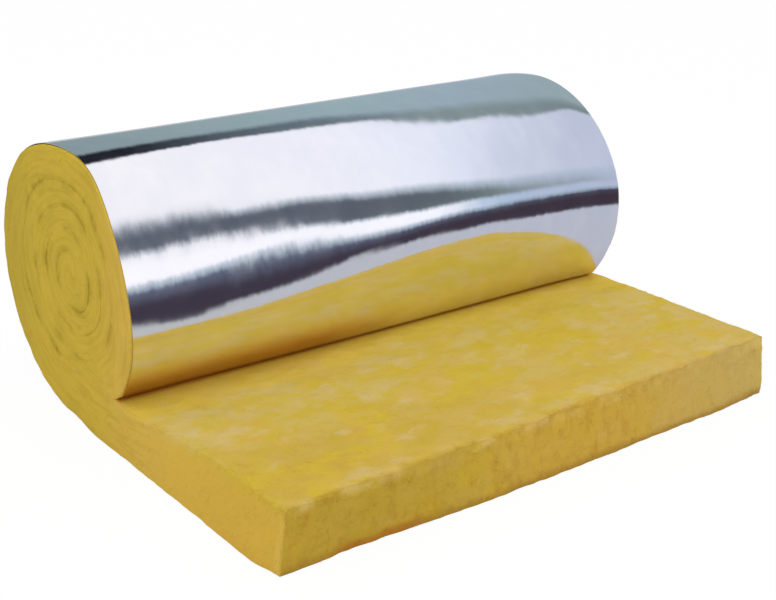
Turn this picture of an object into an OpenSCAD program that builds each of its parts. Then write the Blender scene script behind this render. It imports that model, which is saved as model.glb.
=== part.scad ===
// Foil-faced glass wool blanket, rolled up with its foil outside and its free end
// laid out flat on the floor. X runs along the roll, -Y towards the cut end, +Z up.
// The origin is at the middle of the blanket's footprint, on the floor.

/* [Blanket] */
// Width of the blanket, along the roll's axis
blanket_w = 1200; // [600:10:1500]
// Thickness of the blanket with its facing, where it lies free
blanket_t = 108; // [50:1:150]
// Length laid out flat, from below the roll's axis to the cut end
tail_l = 690; // [450:5:1500]
// Thickness of the foil facing
facing_t = 1; // [0.5:0.1:2]

/* [Roll] */
// Outside diameter of the roll, over the facing
roll_d = 520; // [420:5:800]
// Thickness of the outermost wrap at the top of the roll
wrap_t = 72; // [30:1:100]
// Thickness of each turn inside the outermost wrap
turn_t = 44; // [25:1:80]
// Smallest radius that a turn is wound to
eye_r = 14; // [10:1:30]

/* [Ends] */
// Width of the seam between turns, as it shows on the roll's ends
seam_w = 6; // [3:0.5:10]
// Depth of the seam at each end
seam_d = 10; // [4:1:20]

/* [Hidden] */
$fn = 180;

roll_r = roll_d / 2;
// The roll's axis stands behind the origin, so that the footprint is centred on it
roll_y = (tail_l - roll_r) / 2;
cut_end_y = roll_y - tail_l;
// Radius of the wool inside the facing
wool_r = roll_r - facing_t;
// The first turn lies on the free blanket and reaches up to the outermost wrap
first_turn_r = (roll_d - wrap_t - blanket_t) / 2;
// A spiral of half circles: each is half a turn's thickness smaller than the last
half_step = turn_t / 2;
half_turns = floor((first_turn_r - eye_r) / half_step) + 1;
// Overlap that keeps a cut clear of the face it starts from
cut_clear = 1;

function half_turn_r(k) = first_turn_r - k * half_step;
// Half turns at the back share one centre, and those at the front another above it
function half_turn_z(k) = blanket_t + first_turn_r + (k % 2) * half_step;

// Stands a section drawn in Y and Z upright and gives it a length along X
module along_roll(length) {
    rotate([90, 0, 90]) linear_extrude(height = length, center = true) children();
}

// Section of the roll and the laid out end, inset at its foil side by the given amount
module blanket_section(inset) {
    translate([roll_y, roll_r]) circle(r = roll_r - inset);
    translate([cut_end_y, inset]) square([tail_l, blanket_t - inset]);
}

// Half of a ring, at the back of the roll or at its front
module half_ring(r, w, at_back) {
    outer_r = r + w / 2;
    intersection() {
        difference() {
            circle(r = outer_r);
            circle(r = outer_r - w);
        }
        translate([at_back ? 0 : -outer_r, -outer_r]) square([outer_r, 2 * outer_r]);
    }
}

// Line of the turns on an end of the roll: in from where the roll meets
// the laid out end, flat over that end, and then round and round to the eye
module turn_seam() {
    translate([roll_y - roll_r, blanket_t - seam_w / 2]) square([roll_r, seam_w]);
    for (k = [0 : half_turns - 1])
        translate([roll_y, half_turn_z(k)]) half_ring(half_turn_r(k), seam_w, k % 2 == 0);
}

// Glass wool: one length of blanket, rolled up tight, with the turns showing on both ends
module wool_blanket() {
    seam_cut_l = seam_d + cut_clear;
    color("goldenrod") difference() {
        along_roll(blanket_w) blanket_section(facing_t);
        for (side = [-1, 1])
            translate([side * (blanket_w / 2 + cut_clear - seam_cut_l / 2), 0, 0])
                along_roll(seam_cut_l) intersection() {
                    turn_seam();
                    translate([roll_y, roll_r]) circle(r = wool_r);
                }
    }
}

// Foil facing: under the laid out end, up the back of the roll, over it and down to the nip
module foil_facing() {
    color("silver") along_roll(blanket_w) difference() {
        blanket_section(0);
        blanket_section(facing_t);
    }
}

wool_blanket();
foil_facing();
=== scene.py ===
# Foil-faced glass wool blanket, rolled up with its free end laid out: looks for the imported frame.
# Metres. X runs along the roll, -Y towards the cut end, +Z up.
import math

import bpy
import numpy as np
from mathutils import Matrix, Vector, noise


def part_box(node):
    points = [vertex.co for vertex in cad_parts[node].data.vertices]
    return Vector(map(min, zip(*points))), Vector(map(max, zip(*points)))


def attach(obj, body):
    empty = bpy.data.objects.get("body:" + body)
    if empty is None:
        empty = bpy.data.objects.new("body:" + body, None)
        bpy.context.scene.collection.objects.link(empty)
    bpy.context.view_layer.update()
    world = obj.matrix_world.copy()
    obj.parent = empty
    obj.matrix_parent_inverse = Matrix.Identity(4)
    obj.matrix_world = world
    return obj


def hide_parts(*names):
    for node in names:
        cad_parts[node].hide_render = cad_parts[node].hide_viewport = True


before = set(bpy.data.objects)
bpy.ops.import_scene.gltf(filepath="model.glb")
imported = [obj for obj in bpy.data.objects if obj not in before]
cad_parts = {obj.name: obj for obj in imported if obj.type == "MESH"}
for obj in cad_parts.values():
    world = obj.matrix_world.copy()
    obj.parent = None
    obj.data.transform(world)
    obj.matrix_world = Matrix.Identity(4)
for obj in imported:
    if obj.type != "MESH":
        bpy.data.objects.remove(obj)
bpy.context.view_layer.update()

foilLow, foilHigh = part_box("foil_facing")
halfWidth = foilHigh.x
cutEndY = foilLow.y
axisY = foilHigh.y - foilHigh.z / 2
print("frame loaded")

# How the blanket is wound.
# Turns are in degrees: -90 below the axis, 0 at the back, 90 on top, 180 in front.
belowAxis = -90
winding = {
    "looseThickness": 0.109,  # where the blanket lies free
    "pressedThickness": 0.106,  # under the roll
    "pressedFrom": 0.38,  # in front of the axis, where the roll starts to press it
    "pressedOver": 0.2,
    "halfDepth": 0.256,  # of the roll, along Y
    "halfHeight": 0.262,  # of the roll, along Z
    "eyeY": -0.02,  # eye of the roll, from its axis
    "eyeZ": 0.285,
    "eyeBy": 180,  # the turn by which the seam has drifted to the eye
    "seamRadius": 0.179,  # the first seam, under the outermost wrap
    "turnPitch": 0.045,  # how much nearer the eye each turn is
    "tightenFrom": 70,  # the turn from which the seam winds in
    "leastRadius": 0.004,
    "lastTurn": 1655,
    "heartFrom": 1250,  # where the innermost turn starts to close on itself
    "heartClose": 50,
    "heartRadius": 0.0006,
    "tuckFrom": 213,  # where the outermost wrap leaves its curve for the nip
    "tuckCorner": 0.205,  # in front of the axis
    "tuckReach": 0.188,
    "tuckFree": 0.4,  # share of the tuck that keeps the facing's room
    "tuckTaper": 0.3,
    "nipY": 0.19,  # in front of the axis
}

# Slack in the roll: middle and spread along X, middle and spread on the turn, how far out
slack = [
    (-0.5, 0.3, 152, 18, -0.0105),
    (-0.5, 0.3, 193, 14, 0.0085),
    (-0.55, 0.25, 218, 9, -0.007),
    (0.1, 0.26, 150, 20, 0.008),
    (0.4, 0.3, 191, 12, -0.005),
    (0.5, 0.16, 205, 9, -0.0035),
    (0.5, 0.45, 90, 25, 0.009),
    (0.62, 0.3, 172, 22, 0.009),
    (0.64, 0.04, 95, 30, -0.011),
    (0.7, 0.1, 195, 22, 0.01),
    (0.54, 0.06, 60, 15, 0.004),
    (-0.62, 0.16, 95, 30, -0.008),
    (-0.62, 0.14, 50, 20, 0.008),
]
# The ends aren't square: which end, middle and spread on the turn, how far in
endSlip = [
    (-1, 200, 45, -0.01),
    (-1, 105, 15, 0.01),
    (-1, 20, 45, -0.006),
    (1, 85, 20, 0.008),
    (1, 224, 8, 0.011),
]
slipReach = 0.12
uneven = {"size": 0.11, "along": 2, "far": 0.007, "fade": 0.06}  # turns that aren't wound true
liftOver = 0.012  # height above the free blanket over which the slack takes hold


def smooth(value):
    value = np.clip(value, 0, 1)
    return value * value * (3 - 2 * value)


def bell(value, middle, spread):
    return np.exp(-(((value - middle) / spread) ** 2) / 2)


def lumps(points, size, stretch=(1, 1, 1), seed=0.0):
    scaled = points / (np.array(stretch) * size) + seed
    return np.array([noise.noise(Vector(p)) for p in scaled])


def seamAt(turn):
    tightened = np.maximum(turn - winding["tightenFrom"], 0) / 360
    radius = np.maximum(winding["seamRadius"] - winding["turnPitch"] * tightened, winding["leastRadius"])
    heart = smooth((turn - winding["heartFrom"]) / winding["heartClose"])
    radius = radius * (1 - heart) + winding["heartRadius"] * heart
    drift = winding["eyeY"] * np.clip((turn - belowAxis) / (winding["eyeBy"] - belowAxis), 0, 1)
    angle = np.radians(turn)
    y = axisY + drift + radius * np.cos(angle)
    z = winding["eyeZ"] + radius * np.sin(angle)
    return np.column_stack([y, z])


def wrapAt(turn):
    angle = np.radians(turn)
    y = axisY + winding["halfDepth"] * np.cos(angle)
    z = winding["halfHeight"] * (1 + np.sin(angle))
    return np.column_stack([y, z])


def blanketTop(y):
    pressed = smooth((y - (axisY - winding["pressedFrom"])) / winding["pressedOver"])
    loose = winding["looseThickness"]
    return loose + (winding["pressedThickness"] - loose) * pressed


def tuckAt(share):
    # a bend into the nip, and then flat on the blanket to below the axis
    start = wrapAt(np.array([winding["tuckFrom"]]))[0]
    flatZ = winding["pressedThickness"]
    corner = np.array([axisY - winding["tuckCorner"], flatZ])
    end = np.array([axisY - winding["tuckReach"], flatZ])
    bend = np.clip(share * 2, 0, 1)[:, None]
    run = np.clip(share * 2 - 1, 0, 1)
    points = start * (1 - bend) ** 2 + corner * 2 * bend * (1 - bend) + end * bend**2
    points[:, 0] += run * winding["tuckReach"]
    return points


def onRoll(points):
    # where points lie on the roll: turn, and reach from 0 at the axis to 1 on the facing
    y = points[:, 1] - axisY
    z = points[:, 2] - winding["halfHeight"]
    turn = np.degrees(np.arctan2(z, y))
    turn[turn < belowAxis] += 360
    return turn, np.hypot(y / winding["halfDepth"], z / winding["halfHeight"])


def slipped(points):
    x = points[:, 0]
    turn, reach = onRoll(points)
    slip = 0
    for side, mid, span, far in endSlip:
        nearEnd = smooth((side * x - halfWidth + slipReach) / slipReach)
        slip -= side * far * bell(turn, mid, span) * nearEnd
    return slip * np.minimum(reach**2, 1)


def settle(points):
    # takes points of a true roll to where a slack one has them
    x = points[:, 0]
    y = points[:, 1] - axisY
    turn, reach = onRoll(points)
    out = sum(far * bell(x, at, wide) * bell(turn, mid, span) for at, wide, mid, span, far in slack)
    above = points[:, 2] - winding["pressedThickness"]
    inside = uneven["far"] * np.clip(1 - reach**2, 0, 1) * smooth(above / uneven["fade"])
    stretch = (uneven["along"], 1, 1)
    moved = points.copy()
    moved[:, 0] += slipped(points)
    moved[:, 1] += out * reach**2 * np.cos(np.radians(turn))
    moved[:, 2] += out * reach**2 * np.sin(np.radians(turn))
    moved[:, 1] += inside * lumps(points, uneven["size"], stretch, seed=11.7)
    moved[:, 2] += inside * lumps(points, uneven["size"], stretch, seed=15.2)
    # what lies on the free blanket stays on it
    lift = np.where((above >= 0) & (y < 0), smooth(above / liftOver), 1)
    moved[:, 2] = points[:, 2] + (moved[:, 2] - points[:, 2]) * lift
    return moved


# Crests and a dip on the free blanket: middle and spread along X, the same along Y, how high
crests = [
    (0.28, 0.24, cutEndY, 0.16, 0.009),
    (-0.55, 0.2, axisY - 0.25, 0.12, -0.007),
    (0.6, 0.2, cutEndY, 0.25, 0.006),
]
# Its dents: size, stretch, seed, how high
dimples = [
    (0.1, (1, 1, 1), 3.1, 0.0035),
    (0.035, (1, 1, 1), 7.7, 0.002),
    (0.014, (1.6, 1, 1), 1.3, 0.0008),
]


def dents(x, y):
    # height of the free blanket above its plain top
    flat = np.column_stack([x, y, x * 0])
    high = sum(far * bell(x, at, wide) * bell(y, mid, span) for at, wide, mid, span, far in crests)
    return high + sum(far * lumps(flat, size, stretch, seed) for size, stretch, seed, far in dimples)


cutEnd = {
    "ridges": 0.0024,  # how far upright ridges stand out
    "strips": 0.0016,  # the same for level ones
    "foot": 0.004,  # how far its foot stands out on the left
    "footMore": 0.013,  # and how much more from there on
    "footFrom": -0.45,
    "footOver": 0.3,
    "footHigh": 0.05,
    "setBack": 0.008,  # how far its right end stands back
    "backFrom": 0.42,
    "backOver": 0.18,
    "ragged": 0.007,  # depth of the gaps along its top edge
    "raggedHigh": 0.012,
    "raggedShare": 0.5,  # how much of the edge has them
    "gaps": [(1.1, 0.05, 9.9), (0.4, 0.018, 3.3)],  # how much, size, seed
    "fade": 0.015,  # how far into the blanket all this reaches
}


def torn(x, z, top):
    # how far the cut end stands out of its plane
    c = cutEnd
    flat = np.column_stack([x, x * 0, z])
    out = c["ridges"] * lumps(flat, size=0.022, stretch=(1, 1, 2.5), seed=5.5)
    out += c["strips"] * lumps(flat, size=0.01, stretch=(4, 1, 1), seed=2.2)
    foot = c["foot"] + c["footMore"] * smooth((x - c["footFrom"]) / c["footOver"])
    out += foot * bell(z, 0, c["footHigh"])
    out -= c["setBack"] * smooth((x - c["backFrom"]) / c["backOver"])
    along = np.column_stack([x, x * 0, x * 0])
    ragged = c["raggedShare"]
    for much, size, seed in c["gaps"]:
        ragged = ragged + much * lumps(along, size, seed=seed)
    return out - c["ragged"] * np.maximum(ragged, 0) * np.exp(-np.maximum(top - z, 0) / c["raggedHigh"])


def readPoints(mesh):
    flat = np.empty(len(mesh.vertices) * 3)
    mesh.vertices.foreach_get("co", flat)
    return flat.reshape(-1, 3)


def writePoints(mesh, points):
    mesh.vertices.foreach_set("co", points.ravel())
    mesh.update()


def selectEdges(piece, chosen):
    bpy.ops.object.mode_set(mode="OBJECT")
    mesh = piece.data
    ends = np.empty(len(mesh.edges) * 2, int)
    mesh.edges.foreach_get("vertices", ends)
    points = readPoints(mesh)
    picked = chosen(points[ends[0::2]], points[ends[1::2]])
    mesh.polygons.foreach_set("select", np.zeros(len(mesh.polygons), bool))
    mesh.vertices.foreach_set("select", np.zeros(len(mesh.vertices), bool))
    mesh.edges.foreach_set("select", picked)
    bpy.ops.object.mode_set(mode="EDIT")


def squareUp(piece):
    bpy.ops.object.mode_set(mode="EDIT")
    bpy.ops.mesh.select_all(action="SELECT")
    bpy.ops.mesh.normals_make_consistent(inside=False)
    bpy.ops.object.mode_set(mode="OBJECT")
    bpy.ops.object.shade_smooth()


def keepOn(mesh, name, values):
    # a number or a vector for each point, for the material
    isVector = values.ndim > 1
    kept = mesh.attributes.new(name, "FLOAT_VECTOR" if isVector else "FLOAT", "POINT")
    kept.data.foreach_set("vector" if isVector else "value", values.ravel())


pickNear = 1e-4  # how near a place counts as on it, when edges are picked
sharp = 1e-5  # radius of an edge that isn't rounded

wool = {
    "name": "woolBlanket",
    "freeRows": 120,  # stations along the part that shows in front of the roll
    "hiddenRows": 16,
    "wrapRows": 120,
    "tuckRows": 24,
    "turnRows": 290,
    "layers": 26,  # across the thickness
    "skin": 0.0015,  # room for the facing
    "gap": 0.00003,  # between turns, on each side
    "freeRound": 0.004,  # edges of the laid out end
    "rimRound": 0.0015,  # edges along the facing
    "seamRound": 0.0004,  # edges of the inner turns, where they part
    "seamBlur": 0.008,  # how far the seams' tone spreads
    "sideBlur": 0.025,  # how far below the top the sides' tone fades
    "partSize": 0.07,  # how often the seams come and go
    "partShare": 0.5,  # how much of them is parted
    "partContrast": 1.3,
    "fadeRows": (14, 12),  # rows before the nip where the dents start to fade, and over how many
    # the laid out end's foot stands out on the left, its left side leans in at the top, it stands
    # out on the right by the nip, and the foot of the cut end stands in on the right
    "spread": {"far": 0.01, "from": 0.5, "over": 0.1, "byCut": 0.06, "byAxis": 0.12},
    "lean": {"far": 0.016, "from": 0.48, "over": 0.12, "reach": 0.5, "fade": 0.3, "bow": 1.5},
    "widen": {"far": 0.012, "from": 0.4, "over": 0.2, "ahead": 0.25, "span": 0.13},
    "narrow": {"far": 0.011, "from": 0.45, "over": 0.15, "byCut": 0.1},
    "slipFrom": (0.45, 0.25),  # in front of the axis, where the ends start to slip, and over how far
    "telescope": {"far": 0.002, "size": 0.3},  # turns that stand out at the ends
    "crumple": [(0.002, 0.06, 8.8), (0.0012, 0.02, 6.1)],  # how far, size, seed
    "crumpleFrom": 0.55,  # along X
    "woundFrom": (0.42, 0.2),  # in front of the axis, where the end's tone starts, and over how far
    "columns": [0.588, 0.575, 0.55, 0.4125, 0.275, 0.1375, 0],  # half the width, from the end in
    "wideColumn": 0.05,  # columns wider than this are middle ones
    "fineCuts": 33,  # in each middle column, on top and in front
    "endCuts": 4,  # the same in the columns by the ends
}


def lengthAlong(path):
    steps = np.linalg.norm(np.diff(path, axis=0), axis=1)
    return np.concatenate([[0], np.cumsum(steps)])


def woolStations():
    w = wool
    freeY = np.linspace(cutEndY, axisY - winding["nipY"], w["freeRows"])
    hiddenY = np.linspace(axisY - winding["nipY"], axisY, w["hiddenRows"] + 1)[1:]
    y = np.concatenate([freeY, hiddenY])
    onceRound = belowAxis + 360
    wrapTurn = np.linspace(belowAxis, winding["tuckFrom"], w["wrapRows"] + 1)[1:]
    tuckShare = np.linspace(0, 1, w["tuckRows"] + 1)[1:]
    tuckTurn = winding["tuckFrom"] + tuckShare * (onceRound - winding["tuckFrom"])
    innerTurn = np.linspace(onceRound, winding["lastTurn"], w["turnRows"] + 1)[1:]
    outer = np.vstack(
        [np.column_stack([y, y * 0]), wrapAt(wrapTurn), tuckAt(tuckShare), seamAt(innerTurn - 360)]
    )
    inner = np.vstack(
        [np.column_stack([y, blanketTop(y)]), seamAt(wrapTurn), seamAt(tuckTurn), seamAt(innerTurn)]
    )
    outerGap = np.full(len(outer), w["gap"])
    bendFrom = len(y) + len(wrapTurn)
    outerGap[:bendFrom] = w["skin"]
    bends = slice(bendFrom, bendFrom + len(tuckShare))
    taper = smooth((tuckShare - winding["tuckFree"]) / winding["tuckTaper"])
    outerGap[bends] += (w["skin"] - w["gap"]) * (1 - taper)
    across = inner - outer
    thickness = np.linalg.norm(across, axis=1)
    across /= thickness[:, None]
    outer = outer + across * outerGap[:, None]
    inner = inner - across * w["gap"]
    return outer, inner, lengthAlong((outer + inner) / 2)


def sortGrid(mesh, rows, places):
    # cuts come in another order each run, so points and faces are sorted by row, layer and column
    w = wool
    lines = [[places[-1]]]
    for near, far in zip(places, places[1:]):
        cuts = w["fineCuts"] if far - near > w["wideColumn"] else w["endCuts"]
        lines.append(np.linspace(near, far, cuts + 1, endpoint=False))
    lines = np.sort(np.concatenate(lines))
    grid = readPoints(mesh)
    row = np.rint((grid[:, 0] + 0.5) * rows).astype(int)
    layer = np.rint((grid[:, 1] + 0.5) * w["layers"]).astype(int)
    column = np.searchsorted((lines[1:] + lines[:-1]) / 2, grid[:, 2])
    order = np.lexsort((column, layer, row))
    rank = np.argsort(order).tolist()
    faces = []
    for face in mesh.polygons:
        corners = [rank[v] for v in face.vertices]
        first = corners.index(min(corners))
        faces.append(corners[first:] + corners[:first])
    mesh.clear_geometry()
    mesh.from_pydata(grid[order].tolist(), [], sorted(faces))
    across = 0.5 - 0.5 * np.cos(np.pi * layer[order] / w["layers"])
    return row[order], across, lines[column[order]]


def makeWool():
    w = wool
    outer, inner, along = woolStations()
    rows = len(outer) - 1
    bpy.ops.object.select_all(action="DESELECT")
    # one end of the strip as a sheet of rows and layers, then drawn out along the width
    bpy.ops.mesh.primitive_grid_add(x_subdivisions=rows, y_subdivisions=w["layers"], size=1)
    piece = bpy.context.object
    piece.name = w["name"]
    bpy.ops.object.mode_set(mode="EDIT")
    bpy.ops.mesh.select_all(action="SELECT")
    places = [-halfWidth] + [-c for c in w["columns"]] + w["columns"][-2::-1] + [halfWidth]
    bpy.ops.transform.translate(value=(0, 0, places[0]))
    for near, far in zip(places, places[1:]):
        bpy.ops.mesh.extrude_region_move(TRANSFORM_OT_translate={"value": (0, 0, far - near)})
    bpy.ops.mesh.select_mode(type="EDGE")

    # fine columns on the free top and on the cut end
    freeEnd = (w["freeRows"] - 1) / rows - 0.5 + pickNear
    inside = w["columns"][2] + pickNear

    def acrossFree(a, b):
        onTop = (a[:, 1] > 0.5 - pickNear) & (a[:, 0] < freeEnd)
        inFront = a[:, 0] < pickNear - 0.5
        return (np.abs(a[:, 2] - b[:, 2]) > pickNear) & (onTop | inFront)

    def nearEnds(a, b):
        return acrossFree(a, b) & (np.maximum(np.abs(a[:, 2]), np.abs(b[:, 2])) > inside)

    def middle(a, b):
        return acrossFree(a, b) & (np.abs(a[:, 2] - b[:, 2]) > w["wideColumn"])

    selectEdges(piece, nearEnds)
    bpy.ops.mesh.subdivide(number_cuts=w["endCuts"])
    selectEdges(piece, middle)
    bpy.ops.mesh.subdivide(number_cuts=w["fineCuts"])
    bpy.ops.object.mode_set(mode="OBJECT")

    # roll the strip up
    mesh = piece.data
    station, layer, x = sortGrid(mesh, rows, places)
    side = np.sign(x)
    points = np.column_stack([x, outer[station] + (inner - outer)[station] * layer[:, None]])
    thickness = np.linalg.norm(inner - outer, axis=1)[station]
    lyingRows = w["freeRows"] + w["hiddenRows"]
    rolled = station >= lyingRows
    tucked = station >= lyingRows + w["wrapRows"]
    woundIn = station >= lyingRows + w["wrapRows"] + w["tuckRows"]

    # the ends: soft edges, and seams that come and go between the turns
    toEdge = np.minimum(layer, 1 - layer) * thickness
    atSeam = rolled & (woundIn | (layer > 0.5))
    comeAndGo = w["partContrast"] * lumps(points, w["partSize"], seed=12.4)
    parted = smooth(w["partShare"] + comeAndGo) * atSeam
    atFree = (station < w["freeRows"]) & (layer > 0.5)
    roundness = np.where(atFree, w["freeRound"], w["rimRound"])
    roundness = np.where(atSeam, w["seamRound"] * parted + sharp, roundness)
    pressedOn = (station >= w["freeRows"]) & ~rolled & (layer > 0.5)
    roundness = np.where((tucked & ~atSeam) | pressedOn, sharp, roundness)
    inset = roundness * (1 - np.sqrt(1 - (1 - np.clip(toEdge / roundness, 0, 1)) ** 2))
    onEnd = np.abs(x) > halfWidth - sharp
    lastColumn = w["columns"][0]
    points[:, 0] -= side * inset * np.clip((np.abs(x) - lastColumn) / (halfWidth - lastColumn), 0, 1)
    points[rolled] = settle(points[rolled])

    # dents on top, a torn cut end, a spread foot and slightly telescoped turns
    fadeFrom, fadeOver = w["fadeRows"]
    free = 1 - smooth((station - w["freeRows"] + fadeFrom) / fadeOver)
    points[:, 2] += dents(points[:, 0], points[:, 1]) * layer * free
    nearCut = np.exp(-(points[:, 1] - cutEndY) / cutEnd["fade"]) * ~rolled
    points[:, 1] -= torn(x, points[:, 2], blanketTop(points[:, 1])) * nearCut
    byCut = points[:, 1] - cutEndY
    fromAxis = points[:, 1] - axisY

    part = w["spread"]
    lying = ~rolled * (1 - smooth((fromAxis + part["byAxis"]) / part["byAxis"]))
    onLeft = smooth((-x - part["from"]) / part["over"])
    points[:, 0] -= part["far"] * (1 - layer) * lying * onLeft * smooth(byCut / part["byCut"])
    part = w["lean"]
    onLeft = smooth((-x - part["from"]) / part["over"])
    byFront = smooth((part["reach"] - byCut) / part["fade"])
    points[:, 0] += part["far"] * layer ** part["bow"] * free * onLeft * byFront
    part = w["widen"]
    onRight = smooth((x - part["from"]) / part["over"])
    byNip = bell(points[:, 1], axisY - part["ahead"], part["span"])
    points[:, 0] += part["far"] * onRight * byNip * ~rolled
    slipFrom, slipOver = w["slipFrom"]
    byRoll = smooth((fromAxis + slipFrom) / slipOver)
    points[:, 0] += np.where(rolled | (x > 0), 0, slipped(points) * byRoll * layer)
    part = w["narrow"]
    onRight = smooth((x - part["from"]) / part["over"])
    points[:, 0] -= part["far"] * (1 - layer) * onRight * np.exp(-byCut / part["byCut"]) * ~rolled

    part = w["telescope"]
    alongTurns = np.column_stack([along[station] / part["size"], layer * 0, side])
    outAtEnd = part["far"] * lumps(alongTurns, size=1.0, seed=4.4) * woundIn
    outAtEnd += sum(far * lumps(points, size, seed=seed) for far, size, seed in w["crumple"])
    crumpleFrom = w["crumpleFrom"]
    points[:, 0] += side * smooth((np.abs(x) - crumpleFrom) / (halfWidth - crumpleFrom)) * outAtEnd
    points[:, 2] = np.maximum(points[:, 2], w["skin"])
    writePoints(mesh, points)
    keepOn(mesh, "wind", np.column_stack([along[station], layer * thickness, x]))
    keepOn(mesh, "seam", parted * np.exp(-toEdge / w["seamBlur"]) * onEnd)
    below = np.where(rolled, 1, smooth((1 - layer) * thickness / w["sideBlur"]))
    keepOn(mesh, "ended", onEnd * below)
    woundFrom, woundOver = w["woundFrom"]
    keepOn(mesh, "wound", smooth((fromAxis + woundFrom) / woundOver) * onEnd)
    squareUp(piece)
    print("wool rolled up:", len(mesh.vertices), "points")
    return piece


foil = {
    "name": "foilFacing",
    "columns": 190,
    "underRows": 16,
    "wrapRows": 200,
    "tuckRows": 14,
    "thickness": 0.0006,
    "swell": 0.0014,  # height of the slow waves
    "ripple": 0.00005,  # height of the short ones
    "underInset": 0.006,  # from the blanket's edges, under the laid out end
    "wrapInset": 0.004,
    "tuckInset": 0.008,
    "tuckShare": 0.8,  # how much of the tuck it follows
    "underTurns": (-60, 20),  # below this turn it takes the laid out end's inset, and over how many
    "tuckTurns": (205, 10),  # above this one it takes the tuck's
    "waveTurns": (-80, 40, 215, 20),  # where the waves start, over how many, end, over how many
    "nipTurn": 220,  # the turn that counts for all of the tuck
    "crease": 40,  # edges sharper than this, in degrees, stay sharp
    "dullFrom": 1.88,  # along it, where its shine starts to dull towards the nip
    "dullTo": 1.98,
    "paintedNipReflectionFrom": 1.962,  # the same, where a painted reflection of the nip's shade browns it
    "paintedNipReflectionTo": 2.04,
    "paintedNipReflection": (214, 170, 118),
    "bright": (242, 243, 247),
    "brightest": (248, 248, 250),
}


def makeFoil():
    f = foil
    underY = np.linspace(cutEndY + f["underInset"], axisY, f["underRows"])
    wrapTurn = np.linspace(belowAxis, winding["tuckFrom"], f["wrapRows"] + 1)[1:]
    tuckShare = np.linspace(0, f["tuckShare"], f["tuckRows"] + 1)[1:]
    path = np.vstack([np.column_stack([underY, underY * 0]), wrapAt(wrapTurn), tuckAt(tuckShare)])
    underTurn = np.full(len(underY), belowAxis)
    turns = np.concatenate([underTurn, wrapTurn, np.full(len(tuckShare), f["nipTurn"])])
    heading = np.gradient(path, axis=0)
    heading /= np.linalg.norm(heading, axis=1)[:, None]
    outward = np.column_stack([heading[:, 1], -heading[:, 0]])
    along = lengthAlong(path)
    rows = len(path) - 1

    bpy.ops.object.select_all(action="DESELECT")
    bpy.ops.mesh.primitive_grid_add(x_subdivisions=f["columns"], y_subdivisions=rows, size=1)
    piece = bpy.context.object
    piece.name = f["name"]
    mesh = piece.data
    grid = readPoints(mesh)
    station = np.rint((grid[:, 1] + 0.5) * rows).astype(int)
    turn = turns[station]
    underTo, underOver = f["underTurns"]
    inset = f["wrapInset"] + (f["underInset"] - f["wrapInset"]) * smooth((underTo - turn) / underOver)
    tuckFrom, tuckOver = f["tuckTurns"]
    inset += (f["tuckInset"] - f["wrapInset"]) * smooth((turn - tuckFrom) / tuckOver)
    x = grid[:, 0] * 2 * (halfWidth - inset)
    points = np.column_stack([x, path[station]])
    points = np.where((station >= len(underY))[:, None], settle(points), points)
    waveFrom, waveRise, waveTo, waveFall = f["waveTurns"]
    bare = smooth((turn - waveFrom) / waveRise) * smooth((waveTo - turn) / waveFall)
    flatPlace = np.column_stack([x, along[station], x * 0])
    wave = f["swell"] * (0.5 + 0.5 * lumps(flatPlace, size=0.2, stretch=(1.3, 1, 1), seed=9.3))
    wave += f["ripple"] * lumps(flatPlace, size=0.028, stretch=(1, 2.2, 1), seed=2.9)
    points[:, 1:] += outward[station] * (wave * bare)[:, None]
    writePoints(mesh, points)
    keepOn(mesh, "wind", np.column_stack([along[station], x * 0, x]))
    normals = np.empty(len(mesh.polygons) * 3)
    mesh.polygons.foreach_get("normal", normals)
    centres = np.empty(len(mesh.polygons) * 3)
    mesh.polygons.foreach_get("center", centres)
    top = np.argmax(centres.reshape(-1, 3)[:, 2])
    if normals.reshape(-1, 3)[top, 2] < 0:
        mesh.flip_normals()
    bpy.ops.object.shade_smooth()
    body = piece.modifiers.new("thickness", "SOLIDIFY")
    body.thickness = f["thickness"]
    body.offset = -1
    bpy.ops.object.modifier_apply(modifier=body.name)
    bpy.ops.object.shade_smooth_by_angle(angle=math.radians(f["crease"]))
    print("foil laid on:", len(mesh.vertices), "points")
    return piece, along[-1]


# Loose fibres on the faces of the blanket.
# Lay is the way they run, and stray is how far they turn from it.
fibres = [
    {
        "name": "topFibres",
        "face": "top",
        "count": 5000,
        "length": (0.008, 0.028),
        "radius": (0.0001, 0.0002),
        "lift": 0.0002,
        "lay": (1, 0.3, 0),
        "stray": 1.2,
        "seed": 21,
    },
    {
        "name": "cutFibres",
        "face": "cut",
        "count": 4000,
        "length": (0.006, 0.022),
        "radius": (0.0001, 0.0002),
        "lift": 0.0002,
        "lay": (1, 0, 0.2),
        "stray": 0.7,
        "seed": 22,
    },
    {
        "name": "lipFibres",
        "face": "lip",
        "count": 600,
        "length": (0.005, 0.014),
        "radius": (0.00012, 0.0002),
        "lift": 0.0003,
        "lay": (1, -0.6, 0.3),
        "stray": 1.0,
        "seed": 23,
    },
    {
        "name": "endFibres",
        "face": "ends",
        "count": 5000,
        "length": (0.008, 0.024),
        "radius": (0.0001, 0.0002),
        "lift": 0.0003,
        "lay": "turn",
        "stray": 0.35,
        "seed": 24,
    },
]


# A fibre is a tapered tube of three sides: places and girths of its rings, bend and arch
fibreShape = {
    "rings": [(0, 0.6), (0.35, 1), (0.7, 0.8), (1, 0.2)],
    "sides": (90, 210, 330),
    "bend": 0.25,  # sideways, as a share of its length
    "arch": 2.4,  # how much of a sine's rise it has
    "leastLift": 0.1,  # as a share of the lift
    "leastHeight": 0.0005,  # above the floor
}
# Where they grow: how far a face has to look that way, and where it lies
grown = {
    "top": {"up": 0.5, "above": 0.08, "ahead": 0.25},
    "cut": {"forward": 0.4, "within": 0.03, "below": 0.13},
    "lip": {"up": -0.3, "within": 0.012, "above": 0.094},
    "ends": {"sideways": 0.6, "beyond": 0.58},
}


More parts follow.
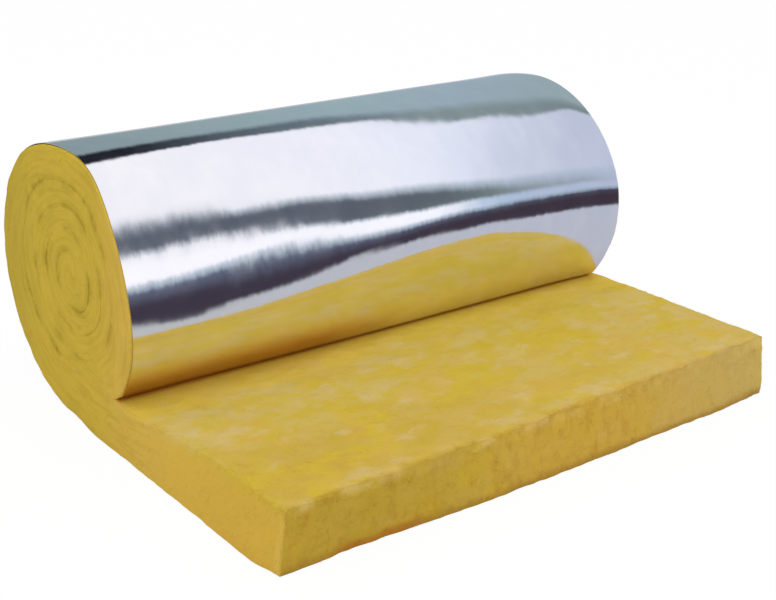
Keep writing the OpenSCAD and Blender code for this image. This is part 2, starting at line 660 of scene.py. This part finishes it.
def faceMask(face, centres, normals):
    x, y, z = centres.T
    g = grown[face]
    if face == "top":
        return (normals[:, 2] > g["up"]) & (z > g["above"]) & (y < axisY - g["ahead"])
    if face == "cut":
        return (normals[:, 1] < -g["forward"]) & (y < cutEndY + g["within"]) & (z < g["below"])
    if face == "lip":
        return (normals[:, 2] > g["up"]) & (y < cutEndY + g["within"]) & (z > g["above"])
    return (np.abs(normals[:, 0]) > g["sideways"]) & (np.abs(x) > g["beyond"])


def unit(vectors):
    return vectors / np.maximum(np.linalg.norm(vectors, axis=1), 1e-9)[:, None]


def makeFibres(look, blanket):
    # each fibre lies on the face and arches off it a little
    shape = fibreShape
    mesh = blanket.data
    faces = len(mesh.polygons)
    centres, normals = np.empty(faces * 3), np.empty(faces * 3)
    areas = np.empty(faces)
    mesh.polygons.foreach_get("center", centres)
    mesh.polygons.foreach_get("normal", normals)
    mesh.polygons.foreach_get("area", areas)
    centres, normals = centres.reshape(-1, 3), normals.reshape(-1, 3)
    chance = areas * faceMask(look["face"], centres, normals)
    draw = np.random.default_rng(look["seed"])
    count = look["count"]
    chosen = draw.choice(faces, count, p=chance / chance.sum())
    up = normals[chosen]
    if look["lay"] == "turn":
        eye = np.array([0, axisY + winding["eyeY"], winding["eyeZ"]])
        lay = unit(np.cross(up, centres[chosen] - eye))
    else:
        lay = unit(np.tile(np.array(look["lay"], float), (count, 1)))
    lay = lay + look["stray"] * draw.normal(size=(count, 3))
    lay = unit(lay - up * (lay * up).sum(1)[:, None])
    across = np.cross(up, lay)
    aside = draw.uniform(-0.5, 0.5, count) * np.sqrt(areas[chosen])
    root = centres[chosen] + across * aside[:, None]
    length = draw.uniform(*look["length"], count)[:, None]
    radius = draw.uniform(*look["radius"], count)[:, None]
    lift = look["lift"] * draw.uniform(shape["leastLift"], 1, count)[:, None]
    bend = length * draw.normal(0, shape["bend"], count)[:, None]
    spread = np.radians(shape["sides"])
    rings = []
    for t, girth in shape["rings"]:
        middle = root + lay * length * (t - 0.5) + across * bend * t * t
        middle += up * (lift * math.sin(shape["arch"] * t) - radius)
        rings += [middle + (across * math.cos(a) + up * math.sin(a)) * radius * girth for a in spread]
    points = np.stack(rings, axis=1).reshape(-1, 3)
    points[:, 2] = np.maximum(points[:, 2], shape["leastHeight"])
    corners = len(rings)
    walls = []
    for first in range(0, corners - 3, 3):
        for k in range(3):
            nextK = (k + 1) % 3
            walls.append([first + k, first + nextK, first + 3 + nextK, first + 3 + k])
    tips = [[2, 1, 0], [corners - 3, corners - 2, corners - 1]]
    starts = np.arange(count)[:, None, None] * corners
    quads = (starts + np.array(walls)).reshape(-1, 4).tolist()
    caps = (starts + np.array(tips)).reshape(-1, 3).tolist()
    made = bpy.data.meshes.new(look["name"])
    made.from_pydata(points.tolist(), [], quads + caps)
    keepOn(made, "tint", np.repeat(draw.uniform(-1, 1, count), corners))
    piece = bpy.data.objects.new(look["name"], made)
    bpy.context.collection.objects.link(piece)
    bpy.ops.object.select_all(action="DESELECT")
    bpy.context.view_layer.objects.active = piece
    piece.select_set(True)
    squareUp(piece)
    print(look["name"], "planted:", count)
    return piece


def colour(red, green, blue):
    # a colour as an eye reads it, 0 to 255, in the light's own scale
    def plain(v):
        v = v / 255
        return v / 12.92 if v <= 0.04045 else ((v + 0.055) / 1.055) ** 2.4

    return (plain(red), plain(green), plain(blue), 1.0)


class Wire:
    # one socket of a node tree; sums and products of wires add Math nodes
    def __init__(self, tree, socket=None):
        self.tree = tree
        self.socket = socket

    def node(self, kind, settings=None, inputs=None, out=0):
        made = self.tree.nodes.new(kind)
        for name, value in (settings or {}).items():
            if name == "stops":
                ramp = made.color_ramp
                while len(ramp.elements) < len(value):
                    ramp.elements.new(1.0)
                for stop, (place, shade) in zip(ramp.elements, value):
                    stop.position = place
                    stop.color = shade
            else:
                setattr(made, name, value)
        for name, value in (inputs or {}).items():
            if isinstance(value, Wire):
                self.tree.links.new(value.socket, made.inputs[name])
            else:
                made.inputs[name].default_value = value
        return Wire(self.tree, made.outputs[out])

    def math(self, operation, *values):
        return self.node("ShaderNodeMath", {"operation": operation}, dict(enumerate(values)))

    def __add__(self, other):
        return self.math("ADD", self, other)

    def __sub__(self, other):
        return self.math("SUBTRACT", self, other)

    def __mul__(self, other):
        return self.math("MULTIPLY", self, other)

    def __radd__(self, other):
        return self.math("ADD", other, self)

    def __rsub__(self, other):
        return self.math("SUBTRACT", other, self)

    def __rmul__(self, other):
        return self.math("MULTIPLY", other, self)

    def step(self, low, high):
        # 0 below low, 1 above high and a soft rise between
        return self.node(
            "ShaderNodeMapRange",
            {"interpolation_type": "SMOOTHSTEP"},
            {"Value": self, "From Min": low, "From Max": high},
        )

    def mix(self, low, high):
        # this wire is the share of high
        return self.node("ShaderNodeMix", {"data_type": "RGBA"}, {0: self, 6: low, 7: high}, 2)

    def ramp(self, stops):
        return self.node("ShaderNodeValToRGB", {"stops": stops}, {"Fac": self})

    def stretch(self, scale, offset=(0, 0, 0)):
        return self.node("ShaderNodeMapping", None, {"Vector": self, "Scale": scale, "Location": offset})

    def noise(self, scale, detail, roughness, distortion=0.0):
        grain = {"Scale": scale, "Detail": detail, "Roughness": roughness, "Distortion": distortion}
        return self.node("ShaderNodeTexNoise", None, {"Vector": self, **grain})

    def parts(self):
        # the three numbers of a vector
        split = self.node("ShaderNodeSeparateXYZ", None, {0: self}).socket.node
        return [Wire(self.tree, socket) for socket in split.outputs]

    def kept(self, name, out=2):
        # what keepOn left on the mesh: out is 1 for a vector and 2 for a number
        return self.node("ShaderNodeAttribute", {"attribute_name": name}, out=out)


def newMaterial(name):
    made = bpy.data.materials.new(name)
    made.use_nodes = True
    return made, Wire(made.node_tree), made.node_tree.nodes["Principled BSDF"]


def feed(shader, socket, wire):
    wire.tree.links.new(wire.socket, shader.inputs[socket])


woolTones = {
    "plain": (205, 177, 68),
    "paintedLightByRoll": (212, 184, 74),  # painted light nearer the roll, against the roll's shade
    "cream": (210, 186, 114),
    "rich": (208, 179, 50),
    "peach": (212, 174, 84),
    "lint": (213, 189, 138),
    "dull": (194, 163, 58),
    "corner": (197, 163, 55),  # left front of the laid out end's top
    "glow": (241, 207, 80),  # painted light by the nip, against the roll's shade there
    "side": (215, 173, 70),  # left side of the laid out end
    "shade": (182, 149, 46),  # painted shade on the left part of the cut end
    "cutMiddle": (205, 162, 64),
    "cutRight": (200, 176, 107),
    "stroke": (172, 128, 42),  # short strokes on the cut end
    "tuftsAndHighlight": (216, 188, 112),  # painted highlight on the upright edge of the cut end
    "paintedEdgeHighlight": (220, 186, 88),  # upright edge of the cut end
    "end": (205, 176, 61),  # the turns on the roll's ends
    "endFront": (215, 176, 78),
    # painted shade at the back of the roll's ends
    "endPaintedShade": (186, 161, 56),
    "seam": (154, 131, 36),
    "foot": (164, 124, 48),  # along the foot of the cut end
    "footStreak": (178, 116, 38),
    "paintedNipShade": (196, 108, 16),  # painted shade in the nip
}
# Soft patches of tone: stretch, offset, scale and roughness of a noise, where it starts and is full
woolPatches = {
    "cream": ((0.8, 1, 1), (0, 0, 0), 17, 0.6, (0.44, 0.6)),
    "rich": ((0.8, 1, 1), (3, 1, 5), 14, 0.6, (0.46, 0.62)),
    "peach": ((0.7, 1, 1), (7, 4, 2), 10, 0.6, (0.46, 0.66)),
    "lint": ((0.7, 1, 1), (1, 8, 3), 17, 0.55, (0.54, 0.7)),
}


def woolMaterial():
    made, wire, shader = newMaterial("glassWool")
    tones = {name: colour(*tone) for name, tone in woolTones.items()}
    place = wire.node("ShaderNodeTexCoord", out=3)
    x, y, z = place.parts()
    wind = wire.kept("wind", 1)
    seam, wound, ended, tint = (wire.kept(name) for name in ("seam", "wound", "ended", "tint"))

    # patches, fine strands, and where each part of the blanket is
    patch = {}
    for name, (stretch, offset, scale, rough, limits) in woolPatches.items():
        patch[name] = place.stretch(stretch, offset).noise(scale, 3, rough).step(*limits)
    strands = wind.stretch((60, 420, 420)).noise(1, 3, 0.65, 1.5)
    atCut = 1 - y.step(cutEndY + 0.004, cutEndY + 0.016)
    onCut = atCut * (1 - ended)
    byNip = y.step(axisY - 0.55, axisY - 0.25)
    inFront = 1 - y.step(cutEndY + 0.1, cutEndY + 0.3)
    inCorner = (1 - y.step(cutEndY + 0.05, cutEndY + 0.15)) * (1 - x.step(-0.54, -0.46))
    patchy = (1 - onCut * (1 - x.step(0.2, 0.5)) * 0.55) * (1 - ended * 0.9) * (1 - inCorner * 0.9)
    # painted light: paler towards the roll, against the shade the roll casts
    tone = byNip.mix(tones["plain"], tones["paintedLightByRoll"])
    tone = (patch["cream"] * patchy * 0.68 + x.step(0.1, 0.5) * inFront * 0.5).mix(tone, tones["cream"])
    tone = (inFront * (1 - x.step(-0.55, 0.1) * 0.65) * 0.85).mix(tone, tones["corner"])
    tone = (patch["rich"] * (1 - ended * 0.7) * 0.8).mix(tone, tones["rich"])
    tone = (patch["peach"] * (1 - ended * 0.7) * 0.45).mix(tone, tones["peach"])
    tone = (patch["lint"] * patchy * 0.52).mix(tone, tones["lint"])
    tone = (strands.step(0.45, 0.7) * 0.12).mix(tone, tones["dull"])
    tone = (tint.step(-0.5, 1) * 0.35).mix(tone, tones["cream"])

    # the cut end has painted shade on its left, is creamy on its right and darker and browner along its
    # foot
    # painted shade on the left of the cut end
    tone = (onCut * (1 - x.step(-0.45, 0.15)) * 0.6).mix(tone, tones["shade"])
    tone = (onCut * x.step(-0.3, 0.0) * 0.6).mix(tone, tones["cutMiddle"])
    tone = (onCut * x.step(0.1, 0.55) * 0.6).mix(tone, tones["cutRight"])
    strokes = place.stretch((1, 1, 0.5)).noise(46, 4, 0.65)
    fewer = 1 - x.step(0, 0.45) * 0.7
    tone = (onCut * fewer * strokes.step(0.46, 0.7) * 0.4).mix(tone, tones["stroke"])
    # pale tufts along the top edge of the cut end, partly painted highlight
    alongEdge = z.step(0.09, 0.106) * (1 - y.step(cutEndY + 0.01, cutEndY + 0.04))
    tone = (alongEdge * place.noise(24, 2, 0.5).step(0.4, 0.7) * 0.6).mix(tone, tones["tuftsAndHighlight"])
    ragged = place.stretch((1, 1, 0.3)).noise(26, 3, 0.6)
    foot = (1 - (z + ragged * 0.02).step(0.012, 0.03)) * onCut
    tone = (foot * 0.7).mix(tone, tones["foot"])
    byCorner = x.step(-0.52, -0.45) * (1 - x.step(-0.36, -0.29))
    streak = (1 - (z + ragged * 0.02).step(0.018, 0.034)) * onCut * byCorner
    # a darker, browner streak low on the cut end, near its left corner
    tone = (streak * 0.7).mix(tone, tones["footStreak"])

    # the ends and the nip, with painted light and shade
    tone = (ended * (1 - wound) * 0.65).mix(tone, tones["side"])
    # painted highlight down the upright edge of the cut end
    tone = (ended * atCut * 0.5).mix(tone, tones["paintedEdgeHighlight"])
    endTone = y.step(axisY - 0.26, axisY - 0.08).mix(tones["endFront"], tones["end"])
    # painted shade towards the back of the ends
    endTone = y.step(axisY + 0.08, axisY + 0.24).mix(endTone, tones["endPaintedShade"])
    tone = (wound * 0.75).mix(tone, endTone)
    grain = wind.stretch((12, 80, 80)).noise(1, 3, 0.6).step(0.4, 0.75)
    broken = place.noise(34, 3, 0.6).step(0.3, 0.62)
    tone = (seam * broken * 0.75 + wound * grain * 0.3).mix(tone, tones["seam"])
    onTop = z.step(0.08, 0.1) * (1 - z.step(0.115, 0.125)) * (1 - wound)
    # painted light in front of the nip
    tone = (onTop * y.step(axisY - 0.32, axisY - 0.22) * 0.7).mix(tone, tones["glow"])
    # painted shade in the nip itself
    tone = (onTop * y.step(axisY - 0.212, axisY - 0.196) * 0.7).mix(tone, tones["paintedNipShade"])
    feed(shader, "Base Color", tone)

    fuzz = place.noise(240, 3, 0.7)
    relief = fuzz * 0.6 + strands * 0.25 + place.noise(60, 3, 0.6)
    bump = wire.node("ShaderNodeBump", None, {"Strength": 0.3, "Distance": 0.004, "Height": relief})
    feed(shader, "Normal", bump)
    shader.inputs["Roughness"].default_value = 0.95
    shader.inputs["Specular IOR Level"].default_value = 0.05
    return made


def foilMaterial():
    made, wire, shader = newMaterial("foil")
    wind = wire.kept("wind", 1)
    along, _, x = wind.parts()
    # short waves across the roll tilt the foil up and down only
    facing = wire.node("ShaderNodeNewGeometry", out=1)
    _, outWay, upWay = facing.parts()
    aroundRoll = wire.node("ShaderNodeCombineXYZ", None, {0: 0.0, 1: 0 - upWay, 2: outWay})
    waver = (wind.stretch((34, 1, 95)).noise(1, 5, 0.68) - 0.5) * 0.04
    lean = wire.node("ShaderNodeVectorMath", {"operation": "SCALE"}, {0: aroundRoll, 3: waver})
    leaning = wire.node("ShaderNodeVectorMath", {"operation": "ADD"}, {0: facing, 1: lean})
    feed(shader, "Normal", wire.node("ShaderNodeVectorMath", {"operation": "NORMALIZE"}, {0: leaning}))
    smear = wind.stretch((9, 1, 14)).noise(1, 3, 0.6)
    dulled = along.step(foil["dullFrom"], foil["dullTo"])
    feed(shader, "Roughness", smear.step(0.3, 0.75) * 0.04 + dulled * 0.1 + 0.05)
    tone = smear.step(0.35, 0.7).mix(colour(*foil["bright"]), colour(*foil["brightest"]))
    # painted reflection: the foil browns towards the nip, as if mirroring the shaded wool there
    paintedNipReflection = along.step(foil["paintedNipReflectionFrom"], foil["paintedNipReflectionTo"]) * (1 - x.step(-0.25, 0.1) * 0.82)
    feed(shader, "Base Color", paintedNipReflection.mix(tone, colour(*foil["paintedNipReflection"])))
    shader.inputs["Metallic"].default_value = 1.0
    return made


# What the foil mirrors, in bands from the floor in front up over the roll to the wall behind.
# Places run from 0 at the left of the studio to 1 at its right. A band starts at its edge, in degrees
# above the horizon in front. Its edge is soft over some degrees at the left and at the right, and
# fringe is how much of the fringe's tone shows there.
studio = {
    "across": (0.42, 0.72),  # how far to the right a mirrored ray points, at the left and right
    "floor": [(0, (192, 194, 194)), (1, (187, 191, 207))],
    "bands": [
        {  # lower dark band
            "soft": (2, 2),
            "fringe": 0,
            "edge": [
                (0, -2), (0.08, -8), (0.16, -12), (0.26, -5), (0.38, -8), (0.44, -3),
                (0.5, -8), (0.6, -8), (0.7, -12), (0.76, -10), (0.85, -14), (1, -13),
            ],
            "tones": [(0, (64, 57, 72)), (1, (62, 53, 64))],
        },
        {  # haze over it
            "soft": (6, 4),
            "fringe": 0,
            "edge": [
                (0, 12), (0.18, 13), (0.25, 9), (0.33, 5), (0.4, 3),
                (0.48, 1), (0.6, 2), (0.75, 2), (1, 3),
            ],
            "tones": [(0, (98, 106, 126)), (0.6, (88, 94, 114)), (1, (70, 64, 78))],
        },
        {  # narrow white band
            "soft": (3.5, 3),
            "fringe": 0.5,
            "edge": [
                (0, 18), (0.18, 20), (0.25, 15), (0.33, 10.5), (0.4, 8), (0.48, 6),
                (0.6, 6.5), (0.7, 8), (0.75, 6.5), (0.88, 8.5), (1, 7.5),
            ],
            "tones": [
                (0, (264, 261, 265)), (0.6, (254, 255, 262)),
                (0.82, (176, 195, 220)), (1, (184, 191, 212)),
            ],
        },
        {  # middle dark band
            "soft": (2, 2.5),
            "fringe": 0.3,
            "edge": [
                (0, 42), (0.05, 37.3), (0.08, 35.8), (0.12, 34.6), (0.155, 30.5), (0.2, 28),
                (0.25, 26.2), (0.3, 23), (0.4, 21), (0.55, 18), (0.7, 18.5), (1, 17),
            ],
            "tones": [
                (0, (90, 95, 108)), (0.65, (95, 104, 112)),
                (0.84, (116, 130, 128)), (1, (180, 188, 208)),
            ],
        },
        {  # wide white band
            "soft": (3, 10),
            "fringe": 0.3,
            "edge": [
                (0, 60), (0.14, 45), (0.2, 48), (0.3, 45), (0.4, 42), (0.55, 40),
                (0.67, 37), (0.74, 34), (0.8, 34), (0.88, 30), (1, 26),
            ],
            "tones": [
                (0, (252, 250, 255)), (0.55, (243, 245, 255)),
                (0.75, (232, 236, 251)), (1, (195, 202, 222)),
            ],
        },
        {  # dark line on top
            "soft": (2, 3),
            "fringe": 0,
            "edge": [
                (0, 126), (0.3, 125), (0.52, 122), (0.58, 120), (0.66, 109), (0.75, 101),
                (0.83, 100), (0.92, 92), (1, 94),
            ],
            "tones": [
                (0, (32, 34, 44)), (0.25, (82, 92, 102)), (0.5, (106, 121, 131)),
                (0.75, (132, 149, 150)), (1, (124, 140, 142)),
            ],
        },
        {  # grey green wall behind
            "soft": (3, 9),
            "fringe": 0,
            "edge": [
                (0, 141), (0.15, 140), (0.3, 138), (0.45, 138), (0.54, 132), (0.61, 126), (0.67, 122),
                (0.74, 118), (0.81, 116), (0.87, 112), (0.94, 108), (1, 106),
            ],
            "tones": [
                (0, (139, 157, 162)), (0.55, (154, 176, 182)),
                (0.75, (156, 175, 187)), (1, (153, 171, 177)),
            ],
        },
    ],
    "fringeTone": (158, 186, 204),
    "degrees": (-60, 240),  # lowest edge that a ramp can hold, and its span
    "daylight": 0.79,
}


def degreesRamp(across, stops):
    # a ramp holds 0 to 1, so degrees are packed into it and taken out again
    lowest, span = studio["degrees"]
    packed = [(at, ((deg - lowest) / span,) * 3 + (1.0,)) for at, deg in stops]
    return across.ramp(packed) * span + lowest


def toneRamp(across, stops):
    return across.ramp([(at, colour(*tone)) for at, tone in stops])


def lightStudio():
    world = bpy.data.worlds.new("studio")
    bpy.context.scene.world = world
    world.use_nodes = True
    tree = world.node_tree
    wire = Wire(tree)
    x, y, z = wire.node("ShaderNodeTexCoord").parts()
    above = wire.math("ARCTAN2", z, 0 - y) * (180 / math.pi)
    low, high = studio["across"]
    across = wire.node("ShaderNodeMapRange", None, {"Value": x, "From Min": low, "From Max": high})
    mirrored = toneRamp(across, studio["floor"])
    for band in studio["bands"]:
        edge = degreesRamp(across, band["edge"])
        near, far = band["soft"]
        soft = across * (far - near) + near
        share = above.step(edge - soft, edge + soft)
        mirrored = share.mix(mirrored, toneRamp(across, band["tones"]))
        fringe = share * (1 - share) * (4 * band["fringe"])
        mirrored = fringe.mix(mirrored, colour(*studio["fringeTone"]))
    rays = wire.node("ShaderNodeLightPath").socket.node
    isCamera = Wire(tree, rays.outputs["Is Camera Ray"])
    isGlossy = Wire(tree, rays.outputs["Is Glossy Ray"])
    day = studio["daylight"]
    light = isGlossy.mix((day, day, day, 1.0), mirrored)
    light = isCamera.mix(light, (1.0, 1.0, 1.0, 1.0))
    feed(tree.nodes["Background"], "Color", light)
    print("studio lit")


keyLamp = {"place": (-0.8, -0.9, 4.8), "aim": (0, 0, 0.2), "size": 2.8, "power": 64}


def hangLamp():
    data = bpy.data.lights.new("keyLamp", "AREA")
    data.size = keyLamp["size"]
    data.energy = keyLamp["power"]
    lamp = bpy.data.objects.new("keyLamp", data)
    bpy.context.collection.objects.link(lamp)
    lamp.location = keyLamp["place"]
    aim = Vector(keyLamp["aim"]) - lamp.location
    lamp.rotation_euler = aim.to_track_quat("-Z", "Y").to_euler()
    lamp.visible_glossy = False


studioFloor = {"size": 14, "tone": (255, 255, 255), "bounce": (248, 248, 248), "lit": 0.95}


def layFloor():
    bpy.ops.object.select_all(action="DESELECT")
    bpy.ops.mesh.primitive_plane_add(size=studioFloor["size"])
    floor = bpy.context.object
    floor.name = "studioFloor"
    made, wire, shader = newMaterial("floorPaper")
    shader.inputs["Roughness"].default_value = 1.0
    shader.inputs["Specular IOR Level"].default_value = 0.0
    rays = wire.node("ShaderNodeLightPath").socket.node
    isCamera = Wire(wire.tree, rays.outputs["Is Camera Ray"])
    paperTone = isCamera.mix(colour(*studioFloor["bounce"]), colour(*studioFloor["tone"]))
    feed(shader, "Base Color", paperTone)
    glow = wire.node("ShaderNodeEmission", None, {"Color": (1, 1, 1, 1), "Strength": 1.0})
    paper = Wire(wire.tree, shader.outputs[0])
    blend = wire.node("ShaderNodeMixShader", None, {0: isCamera * studioFloor["lit"], 1: paper, 2: glow})
    wire.tree.links.new(blend.socket, wire.tree.nodes["Material Output"].inputs["Surface"])
    floor.data.materials.append(made)
    floor.visible_glossy = False


cameraStand = {
    "place": (-1.6077, -1.9390, 1.1490),
    "turn": (68.808, -2.106, -38.654),
    "lens": 62.41,
    "sensor": 36,
}


def setCamera():
    data = bpy.data.cameras.new("camera")
    data.sensor_width = cameraStand["sensor"]
    data.lens = cameraStand["lens"]
    camera = bpy.data.objects.new("camera", data)
    bpy.context.collection.objects.link(camera)
    camera.location = cameraStand["place"]
    camera.rotation_euler = [math.radians(a) for a in cameraStand["turn"]]
    bpy.context.scene.camera = camera


setCamera()
woolPiece = makeWool()
woolPiece.data.materials.append(woolMaterial())
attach(woolPiece, "root")
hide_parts("wool_blanket")

for look in fibres:
    fibrePiece = makeFibres(look, woolPiece)
    fibrePiece.data.materials.append(woolPiece.data.materials[0])
    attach(fibrePiece, "root")

foilPiece, foilLength = makeFoil()
foilPiece.data.materials.append(foilMaterial())
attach(foilPiece, "root")
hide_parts("foil_facing")

lightStudio()
hangLamp()
layFloor()
bpy.context.scene.view_settings.view_transform = "Standard"
